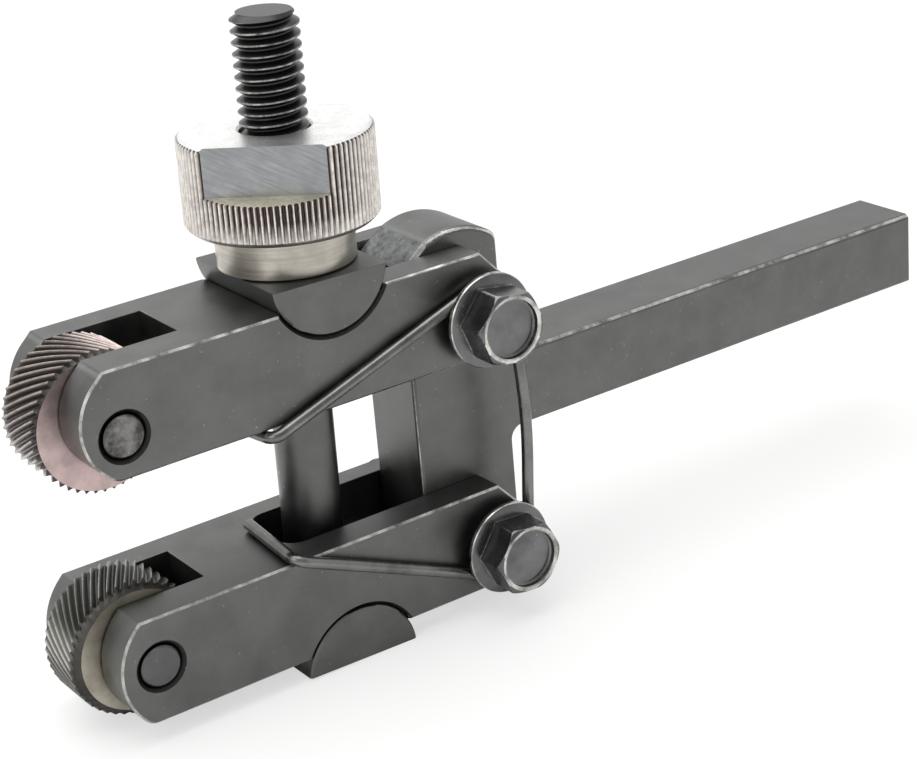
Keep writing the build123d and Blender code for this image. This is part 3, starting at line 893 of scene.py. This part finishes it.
# Faces that look up take the painted light: the top nearly white, and the ledge far lighter than the flats
# cut by the same mill.
for face in nut.data.polygons:
    at = into_nut @ face.center / mm
    way = (into_nut.to_3x3() @ face.normal).normalized()
    out = math.hypot(at.x, at.y)
    if way.z > faces_up:
        face.material_index = 1 if at.z > nut_total - top_band else 4
    elif at.z < collar_height or way.z < faces_down or out < nut_bore + bore_wall:
        face.material_index = 3
    elif out < nut_radius - ridge_depth - gap_margin:
        face.material_index = 2
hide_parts("clamp_nut")

# Floor, lamps and camera: a pale table in a white room, lit by a softbox above and one to the left.
# The camera looks from the front left and a little above.
floor_half = 4.0
floor_glow = 0.62
room_strength = 0.55
# Glossy rays that leave this way see a dimmer room, as they would towards the camera.
dim_way = Vector((-0.55, -0.80, 0.10)).normalized()
dim_range = (-0.1, 0.6)
dim_most = 0.45

lowest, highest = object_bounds()
shape = bmesh.new()
bmesh.ops.create_grid(shape, x_segments=1, y_segments=1, size=floor_half)
bmesh.ops.translate(shape, vec=(0, 0, lowest.z), verts=shape.verts)
floor = link_piece("pale_floor", shape)
paper, nodes, links, shader = node_tree("pale_paper")
shader.inputs["Base Color"].default_value = (0.90, 0.89, 0.88, 1)
shader.inputs["Roughness"].default_value = 0.8
shader.inputs["Specular IOR Level"].default_value = 0.1
glow = nodes.new("ShaderNodeEmission")
glow.inputs["Color"].default_value = (1, 1, 1, 1)
glow.inputs["Strength"].default_value = 1.0
ray = nodes.new("ShaderNodeLightPath")
both = nodes.new("ShaderNodeMixShader")
links.new(math_node(nodes, links, "MULTIPLY", ray.outputs["Is Camera Ray"], floor_glow), both.inputs[0])
links.new(shader.outputs[0], both.inputs[1])
links.new(glow.outputs[0], both.inputs[2])
links.new(both.outputs[0], nodes["Material Output"].inputs[0])
floor.data.materials.append(paper)

world = bpy.data.worlds.new("white_studio")
world.use_nodes = True
bpy.context.scene.world = world
nodes, links = world.node_tree.nodes, world.node_tree.links
nodes.clear()
out = nodes.new("ShaderNodeOutputWorld")
room = nodes.new("ShaderNodeBackground")
room.inputs["Color"].default_value = (1, 1, 1, 1)
room.inputs["Strength"].default_value = room_strength
white = nodes.new("ShaderNodeBackground")
white.inputs["Strength"].default_value = 1.0
ray = nodes.new("ShaderNodeLightPath")
sight = nodes.new("ShaderNodeTexCoord")
front = nodes.new("ShaderNodeVectorMath")
front.operation = "DOT_PRODUCT"
front.inputs[1].default_value = dim_way
links.new(sight.outputs["Generated"], front.inputs[0])
dim = spread(nodes, links, front.outputs["Value"], *dim_range, 0.0, dim_most)
unseen = math_node(nodes, links, "SUBTRACT", 1.0, ray.outputs["Is Camera Ray"])
dim_share = math_node(nodes, links, "MULTIPLY", dim, unseen)
links.new(blend_colours(nodes, links, dim_share, (1.0, 1.0, 1.0), (0.0, 0.0, 0.0)), white.inputs["Color"])
seen = math_node(nodes, links, "MAXIMUM", ray.outputs["Is Camera Ray"], ray.outputs["Is Glossy Ray"])
seen = math_node(nodes, links, "MAXIMUM", seen, ray.outputs["Is Transmission Ray"])
pick = nodes.new("ShaderNodeMixShader")
links.new(seen, pick.inputs[0])
links.new(room.outputs[0], pick.inputs[1])
links.new(white.outputs[0], pick.inputs[2])
links.new(pick.outputs[0], out.inputs[0])


def softbox(name, where, size, power):
    lamp_data = bpy.data.lights.new(name, "AREA")
    lamp_data.shape = "RECTANGLE"
    lamp_data.size, lamp_data.size_y = size
    lamp_data.energy = power
    lamp = bpy.data.objects.new(name, lamp_data)
    lamp.location = (lowest + highest) / 2 + Vector(where)
    lamp.rotation_mode = "QUATERNION"
    lamp.rotation_quaternion = (-Vector(where)).to_track_quat("-Z", "Y")
    bpy.context.scene.collection.objects.link(lamp)


softbox("top_softbox", where=(-0.10, 0.10, 0.60), size=(0.9, 0.8), power=6.0)
softbox("left_softbox", where=(-0.55, -0.20, 0.25), size=(0.3, 0.3), power=0.6)

camera_data = bpy.data.cameras.new("photo_camera")
camera_data.sensor_width = 36.0
camera_data.lens = 89.835
camera_data.shift_x = -0.02811
camera_data.shift_y = -0.05877
camera_data.clip_start = 0.01
camera_data.clip_end = 20.0
camera = bpy.data.objects.new("photo_camera", camera_data)
camera_spot = Vector((-221.52, -263.0, 139.01))
azimuth, elevation, roll = (math.radians(a) for a in (-34.34, 21.31, -4.72))
camera.matrix_world = (
    Matrix.Translation(camera_spot * mm)
    @ Matrix.Rotation(azimuth, 4, "Z")
    @ Matrix.Rotation(math.radians(90) - elevation, 4, "X")
    @ Matrix.Rotation(roll, 4, "Z")
)
bpy.context.scene.collection.objects.link(camera)
bpy.context.scene.camera = camera
bpy.context.scene.view_settings.view_transform = "Standard"

write_sizes()
